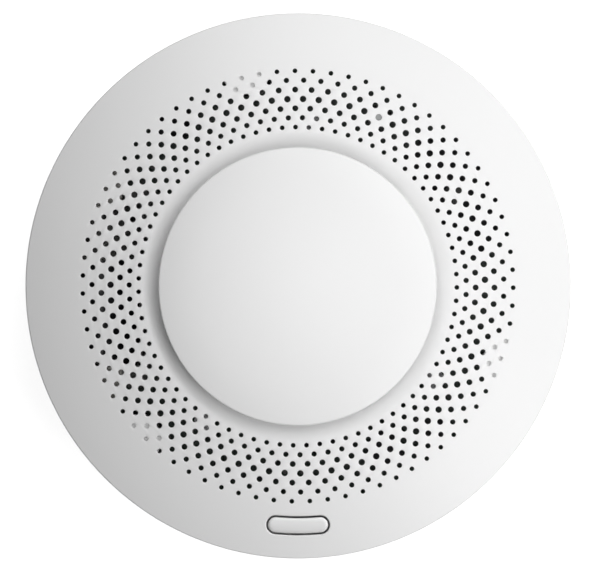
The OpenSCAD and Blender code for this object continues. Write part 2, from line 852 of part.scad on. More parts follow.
module battery_drawer() color([0.95, 0.95, 0.95]) {
    tray_z = floor_top + run;
    stop_w = 0.25;
    difference() {
        intersection() {
            hoop(skirt_in, body_r, tray_z, front_top);
            translate([-body_r - 1, -drawer_half, tray_z + window_gap - run])
                cube([12, 2 * drawer_half, 40]);
        }
        translate([-body_r - 2, 8, cell_z])
            rotate([90, 0, 0])
                cylinder(r = 3, h = 16);
    }
    intersection() {
        translate([0, 0, tray_z])
            cylinder(r = skirt_in + skirt_t / 2, h = 20);
        union() {
            translate([-body_r, -tray_half, tray_z])
                cube([body_r + tail_x, 2 * tray_half, tray_t]);
            for (s = [-1, 1])
                mirror([0, s < 0 ? 1 : 0, 0]) {
                    translate([-body_r, tray_half - 1.6, tray_z])
                        cube([body_r + tail_x, 1.6, rail_h]);
                    translate([tail_x - 1, tray_half - 1, tray_z])
                        cube([1, 1 + stop_w, rail_h]);
                }
            difference() {
                for (s = [-1, 1])
                    translate([cell_x - cell_r - 1, s * 10.5 - 1.5, tray_z])
                        cube([2 * cell_r + 2, 3, cell_z - cell_r + 3 - tray_z]);
                translate([cell_x, 30, cell_z])
                    rotate([90, 0, 0])
                        cylinder(r = cell_r + 0.02, h = 60);
            }
        }
    }
}

module battery() color([0.3, 0.32, 0.36]) {
    translate([cell_x, 0, cell_z])
        rotate([-90, 0, 0])
            rotate_extrude()
                union() {
                    translate([0, -cell_end])
                        square([cell_r - 0.5, cell_l - nub_l]);
                    translate([0, -cell_end + 0.5])
                        square([cell_r, cell_l - nub_l - 1]);
                    square([3.2, cell_end]);
                }
}

module test_button() color([0.96, 0.96, 0.96]) {
    intersection() {
        bent_block(button_at, button_w, button_l, sleeve_z - run - eps, sleeve_z + 10);
        rotate_extrude($fn = 240)
            translate([button_at - button_crown * sin(button_a), button_top - button_crown * cos(button_a)])
                circle(r = button_crown, $fn = 180);
    }
    bent_block(button_at, button_w + 3, button_l + 3, flange_z, flange_z + flange_h);
    translate([0, -stem_at, flange_z])
        cylinder(r = 3.4, h = flange_h);
    translate([0, -stem_at, plunger_z + 0.02])
        cylinder(d = stem_d, h = flange_z - plunger_z);
}

module button_return_spring() color([0.75, 0.75, 0.77]) {
    steps = 12;
    wire_r = spring_wire / 2;
    coil_r = spring_d / 2 - wire_r;
    z0 = switch_top + wire_r;
    rise = flange_z - wire_r - z0;
    count = steps * spring_turns;
    for (i = [0:count - 1])
        hull()
            for (j = [i, i + 1])
                translate([coil_r * cos(j * 360 / steps), coil_r * sin(j * 360 / steps) - stem_at, z0 + rise * j / count])
                    sphere(r = wire_r, $fn = 8);
}

module switch_body() color([0.12, 0.12, 0.13]) {
    difference() {
        translate([-switch_side / 2, -stem_at - switch_side / 2, board_z])
            cube([switch_side, switch_side, switch_h]);
        translate([0, -stem_at, plunger_z - 3.4 - button_travel - 0.2])
            cylinder(d = plunger_d + 2 * run, h = 10);
    }
    for (s = [-1, 1])
        for (t = [-1, 1])
            translate([s * (switch_side / 2 + 0.4) - 0.6, -stem_at + t * 2.2 - 0.35, board_z])
                cube([1.2, 0.7, 0.25]);
}

module switch_plunger() color([0.5, 0.1, 0.1]) {
    translate([0, -stem_at, plunger_z - 3.4])
        cylinder(d = plunger_d, h = 3.4);
}

mounting_bracket();
rear_housing();
front_cover();
centre_cap();
housing_screws();
circuit_board();
board_screws();
chamber_base();
chamber_cover();
insect_screen();
infrared_led();
photodiode();
horn_body();
piezo_disc();
piezo_ceramic();
horn_contacts();
indicator_led();
light_pipe();
microcontroller();
capacitors();
inductor();
chip_resistors();
battery_contact_positive();
battery_contact_negative();
battery_drawer();
battery();
test_button();
button_return_spring();
switch_body();
switch_plunger();
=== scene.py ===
"""Looks of a ceiling smoke detector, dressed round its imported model.

Metres throughout.  +Z leaves the front, the test button lies towards -Y and the cell drawer
slides out towards -X.  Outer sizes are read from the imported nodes' boxes.  The sizes between
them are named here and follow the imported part, save where a docstring says otherwise.
"""
from math import acos, asin, cos, hypot, pi, radians, sin, sqrt

import bmesh
import bpy
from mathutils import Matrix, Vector


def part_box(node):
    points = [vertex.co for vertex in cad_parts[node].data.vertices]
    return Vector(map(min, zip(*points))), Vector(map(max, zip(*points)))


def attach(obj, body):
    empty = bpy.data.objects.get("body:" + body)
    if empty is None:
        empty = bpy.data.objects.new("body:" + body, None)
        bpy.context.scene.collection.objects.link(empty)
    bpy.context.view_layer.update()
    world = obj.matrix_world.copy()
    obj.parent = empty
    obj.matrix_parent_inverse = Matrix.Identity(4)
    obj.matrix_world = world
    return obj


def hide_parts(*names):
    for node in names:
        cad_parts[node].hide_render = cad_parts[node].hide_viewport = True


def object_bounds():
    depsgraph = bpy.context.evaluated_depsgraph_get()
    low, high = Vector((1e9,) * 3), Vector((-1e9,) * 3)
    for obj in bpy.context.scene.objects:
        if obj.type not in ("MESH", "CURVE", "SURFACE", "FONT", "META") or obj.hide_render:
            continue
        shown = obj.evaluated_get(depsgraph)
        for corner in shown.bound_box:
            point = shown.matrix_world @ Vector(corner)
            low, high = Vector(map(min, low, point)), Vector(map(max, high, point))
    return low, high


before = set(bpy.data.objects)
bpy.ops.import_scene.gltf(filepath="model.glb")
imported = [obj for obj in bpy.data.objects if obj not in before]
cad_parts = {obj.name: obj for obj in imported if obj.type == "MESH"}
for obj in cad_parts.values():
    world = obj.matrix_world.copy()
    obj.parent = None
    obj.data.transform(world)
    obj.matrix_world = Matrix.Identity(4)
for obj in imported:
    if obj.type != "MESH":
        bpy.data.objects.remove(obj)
cad_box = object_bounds()
MM = 0.001


# ---------------------------------------------------------------- shader language

def plug(tree, slot, value):
    """Links a socket, or writes a constant, into an input."""
    if isinstance(value, Val):
        tree.links.new(value.socket, slot)
    elif hasattr(slot.default_value, "__len__") and len(slot.default_value) > len(value):
        slot.default_value = (*value, 1)
    else:
        slot.default_value = value


def maths(operation, turned=False):
    """An operator that adds one Math node, with its two operands swapped if turned."""
    def operator(first, *others):
        tree = first.tree
        made = tree.nodes.new("ShaderNodeMath")
        made.operation = operation
        operands = (*others, first) if turned else (first, *others)
        for slot, value in zip(made.inputs, operands):
            plug(tree, slot, value)
        return Val(tree, made.outputs[0])
    return operator


class Val:
    """One shader socket that arithmetic can be written on."""

    def __init__(self, tree, socket):
        self.tree, self.socket = tree, socket

    __add__ = maths("ADD")
    __radd__ = maths("ADD", turned=True)
    __sub__ = maths("SUBTRACT")
    __rsub__ = maths("SUBTRACT", turned=True)
    __mul__ = maths("MULTIPLY")
    __rmul__ = maths("MULTIPLY", turned=True)
    __truediv__ = maths("DIVIDE")
    __mod__ = maths("FLOORED_MODULO")
    __gt__ = maths("GREATER_THAN")
    __lt__ = maths("LESS_THAN")
    __abs__ = maths("ABSOLUTE")
    floor = maths("FLOOR")
    sine = maths("SINE")
    root = maths("SQRT")
    most = maths("MAXIMUM")


def rays(tree, *kinds):
    """1 for light paths of any of these kinds and 0 for the rest."""
    path = tree.nodes.new("ShaderNodeLightPath")
    seen, *others = [Val(tree, path.outputs[f"Is {kind} Ray"]) for kind in kinds]
    for other in others:
        seen = seen.most(other)
    return seen


class Finish:
    """A material being written round one Principled shader."""

    def __init__(self, name, **constants):
        self.material = bpy.data.materials.new(name)
        self.material.use_nodes = True
        self.tree = self.material.node_tree
        self.tree.nodes.clear()
        output = self.tree.nodes.new("ShaderNodeOutputMaterial")
        self.shader = self.tree.nodes.new("ShaderNodeBsdfPrincipled")
        self.tree.links.new(self.shader.outputs[0], output.inputs[0])
        self.set(**constants)

    def set(self, **values):
        """Writes or links inputs of the shader; an underscore stands for a space."""
        for name, value in values.items():
            plug(self.tree, self.shader.inputs[name.replace("_", " ")], value)

    def node(self, kind, settings=None, inputs=None, out=0):
        """Adds a node, its settings first and then its inputs, and gives one of its outputs."""
        made = self.tree.nodes.new(kind)
        for name, value in (settings or {}).items():
            setattr(made, name, value)
        for name, value in (inputs or {}).items():
            plug(self.tree, made.inputs[name], value)
        return Val(self.tree, made.outputs[out])

    def place(self):
        """Object coordinates, in metres."""
        return self.node("ShaderNodeTexCoord", out="Object")

    def axes(self):
        """The three object coordinates as numbers."""
        split = self.tree.nodes.new("ShaderNodeSeparateXYZ")
        plug(self.tree, split.inputs[0], self.place())
        return [Val(self.tree, socket) for socket in split.outputs]

    def noise(self, size, detail=2.0, rough=0.5):
        """Noise from 0 to 1 whose blotches are about that size, in metres."""
        return self.node("ShaderNodeTexNoise", None, {
            "Vector": self.place(), "Scale": 1 / size, "Detail": detail, "Roughness": rough})

    def chance(self, column, row):
        """A random number from 0 to 1 for each square of a checkered plane."""
        square = self.node("ShaderNodeCombineXYZ", None, {0: column, 1: row})
        return self.node("ShaderNodeTexWhiteNoise", None, {"Vector": square}, "Value")

    def mix(self, share, first, second):
        """Colour between two colours."""
        return self.node("ShaderNodeMix", {"data_type": "RGBA"}, {0: share, 6: first, 7: second}, 2)

    def relief(self, height, depth):
        """Bump of that depth, in metres, from a height between 0 and 1."""
        self.set(Normal=self.node("ShaderNodeBump", None, {"Height": height, "Distance": depth}))


def shade(colour, share):
    """The colour times a number."""
    return [channel * share for channel in colour]


# ---------------------------------------------------------------- finishes

def moulded(name, colour, roughness, grain=0.16 * MM, depth=0.0035 * MM):
    """Moulded plastic: a fine eroded grain, and a slow drift in tone and gloss."""
    tone_drift, gloss_drift = 0.02, 0.1
    made = Finish(name)
    slow = made.noise(24 * MM, 3)
    made.set(Base_Color=made.mix(slow, shade(colour, 1 - tone_drift), colour))
    made.set(Roughness=roughness - gloss_drift / 2 + gloss_drift * slow)
    made.relief(made.noise(grain, 2, 0.6), depth)
    return made


def metal(name, colour, roughness):
    """Plain metal with fine tooling marks and uneven polish."""
    tone_drift, gloss_drift = 0.15, 0.16
    made = Finish(name, Metallic=1.0)
    mark = made.noise(0.3 * MM, 4, 0.6)
    slow = made.noise(3 * MM, 2)
    made.set(Base_Color=made.mix(slow, shade(colour, 1 - tone_drift), colour))
    made.set(Roughness=roughness - gloss_drift / 2 + gloss_drift * mark)
    made.relief(mark, 0.002 * MM)
    return made


def solder_mask():
    """Green board: tracks under the lacquer, bare pads, and the weave of the glass."""
    pitch, weave_pitch = 1.27 * MM, 0.4 * MM
    block_columns, block_rows = 9, 7
    track_half, pad_r, pad_share = 0.16, 0.3, 0.14
    made = Finish("board_lacquer", Coat_Weight=0.4, Coat_Roughness=0.12)
    x, y, _ = made.axes()
    chance = made.chance((x / pitch).floor(), (y / pitch).floor())
    across, along = abs((x / pitch) % 1 - 0.5), abs((y / pitch) % 1 - 0.5)
    upright = made.chance((x / (block_columns * pitch)).floor(),
                          (y / (block_rows * pitch)).floor()) > 0.5
    track = across * upright + along * (1 - upright) < track_half
    pad = ((across * across + along * along).root() < pad_r) * (chance > 1 - pad_share)
    weave = ((x / weave_pitch).sine() * (y / weave_pitch).sine() + 1) * 0.5
    green = made.mix(track, (0.075, 0.12, 0.09), (0.095, 0.15, 0.11))
    made.set(Base_Color=made.mix(pad, green, (0.2, 0.2, 0.19)), Metallic=pad * 0.5)
    made.set(Roughness=0.42 - pad * 0.12 + weave * 0.05)
    made.relief(track * 0.8 + pad * 0.6 + weave * 0.15, 0.02 * MM)
    return made


def cell_wrap():
    """Sleeve of the cell: a dark body, one pale band and bare metal at its ends."""
    low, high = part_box("battery")
    base_end, band_from, band_to, tip_from = 0.015, 0.66, 0.92, 0.955
    made = Finish("cell_sleeve", Coat_Weight=0.5, Coat_Roughness=0.15)
    _, y, _ = made.axes()
    share = (y - low.y) / (high.y - low.y)
    bare = (share > tip_from).most(share < base_end)
    band = (share > band_from) * (share < band_to)
    fleck = made.noise(0.8 * MM, 3)
    body = made.mix(band, (0.045, 0.047, 0.055), (0.5, 0.5, 0.48))
    made.set(Base_Color=made.mix(bare, body, (0.7, 0.7, 0.7)), Metallic=bare)
    made.set(Roughness=0.3 + fleck * 0.1)
    made.relief(fleck, 0.004 * MM)
    return made


def dull_ceramic():
    """Silvered ceramic of the sounder."""
    made = Finish("sounder_ceramic")
    fleck = made.noise(0.5 * MM, 3)
    made.set(Base_Color=made.mix(fleck, (0.66, 0.64, 0.6), (0.82, 0.8, 0.75)))
    made.set(Roughness=0.4 + fleck * 0.2, Metallic=0.3)
    made.relief(fleck, 0.004 * MM)
    return made


def clear_resin(name, colour, roughness, clear=0.85):
    """Clear, tinted or milky resin of a lens or a light pipe."""
    tone_drift, gloss_drift = 0.08, 0.06
    made = Finish(name, Transmission_Weight=clear, IOR=1.5)
    ripple = made.noise(1.2 * MM, 2)
    made.set(Base_Color=made.mix(ripple, shade(colour, 1 - tone_drift), colour))
    made.set(Roughness=roughness + ripple * gloss_drift)
    made.relief(ripple, 0.006 * MM)
    return made


def dress(made, *nodes):
    """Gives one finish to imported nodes."""
    for name in nodes:
        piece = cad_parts[name]
        piece.data.materials.clear()
        piece.data.materials.append(made.material)


cover_white = moulded("cover_white", (0.84, 0.84, 0.84), roughness=0.42)
dress(cover_white, "front_cover", "centre_cap")
button_finish = moulded("button_white", (0.84, 0.84, 0.84), roughness=0.36, grain=0.12 * MM)
dress(button_finish, "test_button")
dress(moulded("back_shell_white", (0.8, 0.8, 0.79), 0.5, grain=0.3 * MM, depth=0.006 * MM),
      "rear_housing", "battery_drawer")
dress(moulded("bracket_white", (0.78, 0.78, 0.76), 0.55, grain=0.3 * MM, depth=0.008 * MM),
      "mounting_bracket")
dress(moulded("chamber_black", (0.09, 0.09, 0.092), 0.6, grain=0.3 * MM),
      "chamber_base", "chamber_cover", "horn_body", "switch_body")
dress(moulded("plunger_red", (0.42, 0.03, 0.025), 0.4, grain=0.2 * MM), "switch_plunger")
dress(moulded("component_black", (0.07, 0.07, 0.072), 0.55, grain=0.12 * MM),
      "microcontroller", "chip_resistors")
dress(moulded("capacitor_black", (0.05, 0.05, 0.055), 0.4, grain=0.4 * MM), "capacitors")
dress(moulded("ferrite_grey", (0.05, 0.05, 0.055), 0.7, grain=0.2 * MM, depth=0.01 * MM),
      "inductor")
dress(metal("screw_steel", (0.62, 0.62, 0.64), 0.3), "housing_screws", "board_screws")
dress(metal("spring_steel", (0.6, 0.6, 0.62), 0.28), "button_return_spring")
dress(metal("screen_steel", (0.5, 0.5, 0.51), 0.4), "insect_screen")
dress(metal("sounder_nickel", (0.3, 0.3, 0.29), 0.4), "piezo_disc")
dress(metal("contact_nickel", (0.72, 0.7, 0.66), 0.3),
      "horn_contacts", "battery_contact_positive", "battery_contact_negative")
dress(dull_ceramic(), "piezo_ceramic")
dress(solder_mask(), "circuit_board")
dress(cell_wrap(), "battery")
dress(clear_resin("emitter_resin", (0.35, 0.4, 0.6), 0.1), "infrared_led")
dress(moulded("photodiode_resin", (0.02, 0.015, 0.03), 0.2, grain=0.3 * MM), "photodiode")
dress(clear_resin("indicator_resin", (0.7, 0.85, 0.7), 0.12), "indicator_led")
dress(clear_resin("light_pipe_acrylic", (0.42, 0.43, 0.43), 0.4, clear=0.25), "light_pipe")


# ---------------------------------------------------------------- sizes that the pieces share

ROWS, HOLES = 7, 75  # rows of the grille, and holes in each
COLUMNS = 4 * HOLES  # a hole's cell is four columns wide and four stations deep
WALL = 1.8 * MM  # of the ring and of the cap
CROWN = 166 * MM  # radius of the dome that the ring is part of
TURN = 5 * MM  # radius of the roll from the ring's crest down into the groove
GROOVE = 1.9 * MM  # from the crest down to the groove's land
POST_R = 5.5 * MM

body_low, body_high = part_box("front_cover")
_, cap_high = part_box("centre_cap")
body_r = body_high.x
cap_r = cap_high.x
crest_r = cap_r + 5.15 * MM
crest_a = asin(crest_r / CROWN)
turn_r = crest_r - TURN * sin(crest_a)
turn_z = body_high.z - TURN
crown_z = turn_z - (CROWN - TURN) * cos(crest_a)
land_z = body_high.z - GROOVE
collar_z = land_z - 4.2 * MM  # lower end of the collar, which the cap's legs snap under
button_at = body_r - 7.3 * MM  # radius of the circle that the button is bent along


def crown_height(r, under=0.0):
    """Height of the ring at radius r, or of the surface that lies so far under it."""
    if r >= (CROWN - under) * sin(crest_a):
        return crown_z + sqrt((CROWN - under) ** 2 - r * r)
    return turn_z + sqrt((TURN - under) ** 2 - (r - turn_r) ** 2)


sleeve_z = crown_height(body_r - 3 * MM) - 3.1 * MM  # lower end of the sleeve round the button


# ---------------------------------------------------------------- forms in mesh code

def mesh_object(name, bm, finish):
    """Object made of a bmesh, which is used up."""
    data = bpy.data.meshes.new(name)
    bm.to_mesh(data)
    bm.free()
    data.materials.append(finish.material)
    made = bpy.data.objects.new(name, data)
    bpy.context.scene.collection.objects.link(made)
    return made


def finish_mesh(name, bm, finish):
    """Object of a closed bmesh with soft edges shaded by their larger faces."""
    sharp = radians(50)
    bmesh.ops.recalc_face_normals(bm, faces=bm.faces)
    for face in bm.faces:
        face.smooth = True
    made = mesh_object(name, bm, finish)
    made.data.set_sharp_from_angle(angle=sharp)
    weigh = made.modifiers.new("even_normals", "WEIGHTED_NORMAL")
    weigh.keep_sharp = True
    return made


def stands_for(piece, node, body):
    """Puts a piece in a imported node's place, on the node's body."""
    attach(piece, body)
    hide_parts(node)


def spread(first, last, steps):
    """Evenly spread numbers from first to last, both of them included."""
    return [first + (last - first) * i / steps for i in range(steps + 1)]


def polar(r, angle, z):
    """Point at an angle round the object's axis."""
    return Vector((r * cos(angle), r * sin(angle), z))


def circle(middle, radius, count=48):
    """Round outline about a point; an outline is a list of x, y."""
    turns = [2 * pi * i / count for i in range(count)]
    return [(middle.x + radius * cos(a), middle.y + radius * sin(a)) for a in turns]


def pill(half_width, half_length, straight=16, bend=24):
    """Round-ended outline bent along the button's circle, from its outer left corner."""
    half = (half_length - half_width) / button_at

    def end(sign, turn):
        at = sign * half - pi / 2
        heading = at + turn
        return (button_at * cos(at) + half_width * cos(heading),
                button_at * sin(at) + half_width * sin(heading))

    def side(sign, share):
        at = half * (2 * share - 1) * sign - pi / 2
        r = button_at + half_width * sign
        return (r * cos(at), r * sin(at))

    outer = [side(1, i / straight) for i in range(straight)]
    right = [end(1, pi * i / bend) for i in range(bend)]
    inner = [side(-1, i / straight) for i in range(straight)]
    left = [end(-1, pi + pi * i / bend) for i in range(bend)]
    return outer + right + inner + left


def level(outline, z):
    """The outline at one height."""
    return [Vector((x, y, z)) for x, y in outline]


def raised(outline, under=0.0, drop=0.0):
    """The outline laid on the ring, or on the surface so far under it, and then let down."""
    return [Vector((x, y, crown_height(hypot(x, y), under) - drop)) for x, y in outline]


def fillet(radius, steps=3):
    """Rounded edge from the face to the wall: how far out and how deep each of its points lies."""
    return [(radius * (1 - sin(t)), radius * (1 - cos(t))) for t in spread(0, pi / 2, steps)]


def row_of(bm, points):
    """Vertices of one row."""
    return [bm.verts.new(point) for point in points]


def bridge(bm, first, second):
    """Faces between two closed rows; the second has as many corners as the first, or twice."""
    share, count = len(second) // len(first), len(first)
    for i in range(count):
        far = [second[(i * share + s) % len(second)] for s in range(share, -1, -1)]
        bm.faces.new([first[i], first[(i + 1) % count], *far])


def stack(bm, rows):
    """Faces between each row and the next."""
    for first, second in zip(rows, rows[1:]):
        bridge(bm, first, second)


def closed_stack(bm, rows):
    """Closed body of rows, with a flat face at either end."""
    stack(bm, rows)
    bm.faces.new(rows[0])
    bm.faces.new(rows[-1])


def lathe(bm, profile, count):
    """Closed body of revolution, flat at both ends of its profile of r, z."""
    turns = [2 * pi * i / count for i in range(count)]
    closed_stack(bm, [row_of(bm, [polar(r, a, z) for a in turns]) for r, z in profile])


def arc_block(bm, radii, heights, middle, arc, steps=12):
    """Upright block bent along part of a circle."""
    (r0, r1), (z0, z1) = radii, heights
    section = ((r0, z0), (r1, z0), (r1, z1), (r0, z1))
    turns = spread(middle - arc / 2, middle + arc / 2, steps)
    closed_stack(bm, [row_of(bm, [polar(r, a, z) for r, z in section]) for a in turns])


# ---------------------------------------------------------------- front cover

class Grid:
    """Corners that the cover's parts share, numbered by station outwards and by column round.

    Side 0 is the face and side 1 the back.
    """

    def __init__(self, stations):
        phase = radians(-0.42)  # of the first hole in the first row, from the +X axis
        self.bm = bmesh.new()
        self.stations = stations
        self.turns = [phase + (j - 2) * 2 * pi / COLUMNS for j in range(COLUMNS)]
        self.corners = {}

    def corner(self, side, station, column):
        """One corner, made the first time it is asked for."""
        key = (side, station, column % COLUMNS)
        if key not in self.corners:
            r = self.stations[station]
            spot = polar(r, self.turns[column % COLUMNS], crown_height(r, side * WALL))
            self.corners[key] = self.bm.verts.new(spot)
        return self.corners[key]

    def ring(self, side, station):
        """All corners of one station."""
        return [self.corner(side, station, column) for column in range(COLUMNS)]

    def nearest(self, angle):
        """Column that lies nearest an angle between 0 and a full turn."""
        return min(range(COLUMNS), key=lambda column: abs(self.turns[column] - angle))


def border_step(s):
    """Place of a walk round a cell's 16 corners, at step s and along one axis, from its middle."""
    return max(-2, min(2, abs(s % 16 - 8) - 4))


def hole_outline(hole, radius):
    """Outline of 16 corners that starts on the side towards the next hole of the row."""
    out = hole.normalized()
    along = Vector((0, 0, 1)).cross(out)
    ways = [along * cos(pi * s / 8) + out * sin(pi * s / 8) for s in range(16)]
    return [(hole + way * radius).xy for way in ways]


def hole_cells(grid, row_r, pitch, posts):
    """Staggered rows of round holes, each in a cell of the grid and blind over a screw post.

    The bores widen inwards by a draft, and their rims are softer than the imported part's.
    """
    bm = grid.bm
    end_width, middle_width = 1.04 * MM, 1.43 * MM
    draft, blind = 0.1 * MM, 0.9 * MM
    soft = fillet(0.05 * MM, 2)
    walk = [(border_step(s), border_step(s - 4)) for s in range(16)]
    half_rows = (ROWS - 1) / 2
    for k in range(ROWS):
        towards_middle = 1 - abs(k - half_rows) / half_rows
        radius = (end_width + (middle_width - end_width) * towards_middle) / 2
        station = 4 * k + 2
        for c in range(HOLES):
            column = 4 * c + 2 * (k % 2) + 2
            hole = polar(row_r + k * pitch, grid.turns[column % COLUMNS], 0)
            face, back = ([grid.corner(side, station + outwards, column + onwards)
                           for onwards, outwards in walk] for side in (0, 1))
            rim = [row_of(bm, raised(hole_outline(hole, radius + away), drop=depth))
                   for away, depth in soft]
            if min((hole - post).length for post in posts) < POST_R:
                bottom = row_of(bm, raised(hole_outline(hole, radius + draft / 2), under=blind))
                stack(bm, [face, *rim, bottom])
                bm.faces.new(bottom)
                bm.faces.new(back)
            else:
                inside = row_of(bm, raised(hole_outline(hole, radius + draft), under=WALL))
                stack(bm, [face, *rim, inside, back])


def groove_and_collar(grid):
    """From the holes' inner border over the crest, down to the land, round the collar and back."""
    bm = grid.bm
    border = grid.stations[0] - turn_r
    inner = TURN - WALL
    roll = spread(asin(border / TURN), -acos((TURN - GROOVE) / TURN), 10)[1:]
    back = spread(-pi / 3, asin(border / inner), 5)[:-1]
    collar_in, collar_out, collar_top = cap_r - 1.45 * MM, cap_r + 0.75 * MM, turn_z + 1.92 * MM
    profile = [(turn_r + TURN * sin(t), turn_z + TURN * cos(t)) for t in roll]
    profile += [(collar_in, land_z), (collar_in, collar_z)]
    profile += [(collar_out, collar_z), (collar_out, collar_top)]
    profile += [(turn_r + inner * sin(t), turn_z + inner * cos(t)) for t in back]
    rows = [row_of(bm, [polar(r, a, z) for a in grid.turns]) for r, z in profile]
    stack(bm, [grid.ring(0, 0), *rows, grid.ring(1, 0)])


def plain_band(grid, inside, outside):
    """Face and back between two stations, with the button's slot and the sleeve under it."""
    bm, corner = grid.bm, grid.corner
    slot_w, slot_l, slot_edge, sleeve_t = 2.1 * MM, 7 * MM, 0.3 * MM, 1.2 * MM
    half_gap = 8  # columns either side of the slot's middle that are left out for it
    lead = 8  # corners of the slot's left end that come before its first straight
    middle = grid.nearest(3 * pi / 2)
    first, last = middle - half_gap, middle + half_gap
    for side in (0, 1):
        for i in range(inside, outside):
            for j in range(COLUMNS):
                if not first <= j < last:
                    bm.faces.new([corner(side, i, j), corner(side, i + 1, j),
                                  corner(side, i + 1, j + 1), corner(side, i, j + 1)])
    gap = [(outside, j) for j in range(first, last)]
    gap += [(i, last) for i in range(outside, inside, -1)]
    gap += [(inside, j) for j in range(last, first, -1)]
    gap += [(i, first) for i in range(inside, outside)]

    def around_slot(away):
        """Outline of the slot, so far outside it, that starts where the walk round the gap does."""
        outline = pill(slot_w + away, slot_l + away)
        return outline[-lead:] + outline[:-lead]

    walls = [row_of(bm, raised(around_slot(away), drop=depth)) for away, depth in fillet(slot_edge)]
    walls += [row_of(bm, level(around_slot(away), sleeve_z)) for away in (0, sleeve_t)]
    foot = row_of(bm, raised(around_slot(sleeve_t), under=WALL))
    bridge(bm, [corner(0, i, j) for i, j in gap], walls[0])
    stack(bm, [*walls, foot])
    bridge(bm, [corner(1, i, j) for i, j in gap], foot)


def rim_and_skirt(grid, outside):
    """Rounded rim and upright skirt, with the drawer's window on the -X side."""
    bm, turns = grid.bm, grid.turns
    drawer_low, drawer_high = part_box("battery_drawer")
    window_low, window_high = drawer_low.z - 0.05 * MM, drawer_high.z + 0.3 * MM
    window_half, skirt_in = 21.3 * MM, body_r - 2 * MM
    rim, hem = 0.5 * MM, 0.4 * MM
    reach, slack = radians(35), 1e-9
    start, stop = (grid.nearest(pi + sign * asin(window_half / body_r)) for sign in (-1, 1))

    def skirt_row(r, z):
        """Row whose columns are drawn sideways, so that two of them follow the window's sides."""
        to, spots = asin(window_half / r), []
        for a in turns:
            off = a % (2 * pi) - pi
            sign, side = (1, stop) if off > 0 else (-1, start)
            at = abs(turns[side] - pi)
            if abs(off) <= at + slack:
                off = off * to / at
            elif abs(off) < reach:
                off = sign * (to + (abs(off) - at) * (reach - to) / (reach - at))
            spots.append(polar(r, pi + off, z))
        return row_of(bm, spots)

    rim_r = body_r - rim
    rim_z = crown_z + sqrt((CROWN - rim) ** 2 - rim_r ** 2)
    bend = spread(asin(body_r / CROWN), pi / 2, 5)
    outer = [row_of(bm, [polar(rim_r + rim * sin(t), a, rim_z + rim * cos(t)) for a in turns])
             for t in bend]
    outer_top, inner_top = len(outer), 1
    outer += [skirt_row(body_r, z) for z in (window_high, window_low)]
    outer += [skirt_row(body_r - depth, body_low.z + away) for away, depth in fillet(hem)]
    inner = [skirt_row(skirt_in, z)
             for z in (crown_height(skirt_in, WALL), window_high, window_low, body_low.z)]
    for rows, top in ((outer, outer_top), (inner, inner_top)):
        for n, (upper, lower) in enumerate(zip(rows, rows[1:])):
            for j in range(COLUMNS):
                if n != top or not start <= j < stop:
                    after = (j + 1) % COLUMNS
                    bm.faces.new([upper[j], upper[after], lower[after], lower[j]])
    bridge(bm, grid.ring(0, outside), outer[0])
    bridge(bm, grid.ring(1, outside), inner[0])
    bridge(bm, outer[-1], inner[-1])
    out_high, out_low = outer[outer_top:outer_top + 2]
    in_high, in_low = inner[inner_top:inner_top + 2]
    for out, into in ((out_high, in_high), (out_low, in_low)):
        for j in range(start, stop):
            bm.faces.new([out[j], out[j + 1], into[j + 1], into[j]])
    for j in (start, stop):
        bm.faces.new([out_high[j], out_low[j], in_low[j], in_high[j]])


def screw_posts(bm, posts):
    """Bored cylinders whose heads lie in the wall."""
    foot_z, bore_z, bore_r, sunk = 8.99 * MM, 17 * MM, 1.3 * MM, 1.2 * MM
    for post in posts:
        closed_stack(bm, [row_of(bm, raised(circle(post, POST_R), under=sunk)),
                          row_of(bm, level(circle(post, POST_R), foot_z)),
                          row_of(bm, level(circle(post, bore_r), foot_z)),
                          row_of(bm, level(circle(post, bore_r), bore_z))])


def front_cover():
    """Domed ring with its rows of holes, the button's slot and the drawer's window."""
    row_r, last_row_r = crest_r - 0.67 * MM, button_at - 5.41 * MM
    pitch = (last_row_r - row_r) / (ROWS - 1)
    band_in, band_out = row_r + (ROWS - 0.5) * pitch, 57.1 * MM
    stations = [row_r + (i / 4 - 0.5) * pitch for i in range(4 * ROWS)]
    inside = len(stations)
    stations += spread(band_in, band_out, 4)
    outside = len(stations) - 1
    post_at, post_angles = 49 * MM, (103.5, 223.5, 340.3)
    posts = [polar(post_at, radians(angle), 0) for angle in post_angles]
    grid = Grid(stations)
    hole_cells(grid, row_r, pitch, posts)
    groove_and_collar(grid)
    plain_band(grid, inside, outside)
    rim_and_skirt(grid, outside)
    screw_posts(grid.bm, posts)
    made = finish_mesh("grille_cover", grid.bm, cover_white)
    stands_for(made, "front_cover", "housing")


# ---------------------------------------------------------------- centre cap

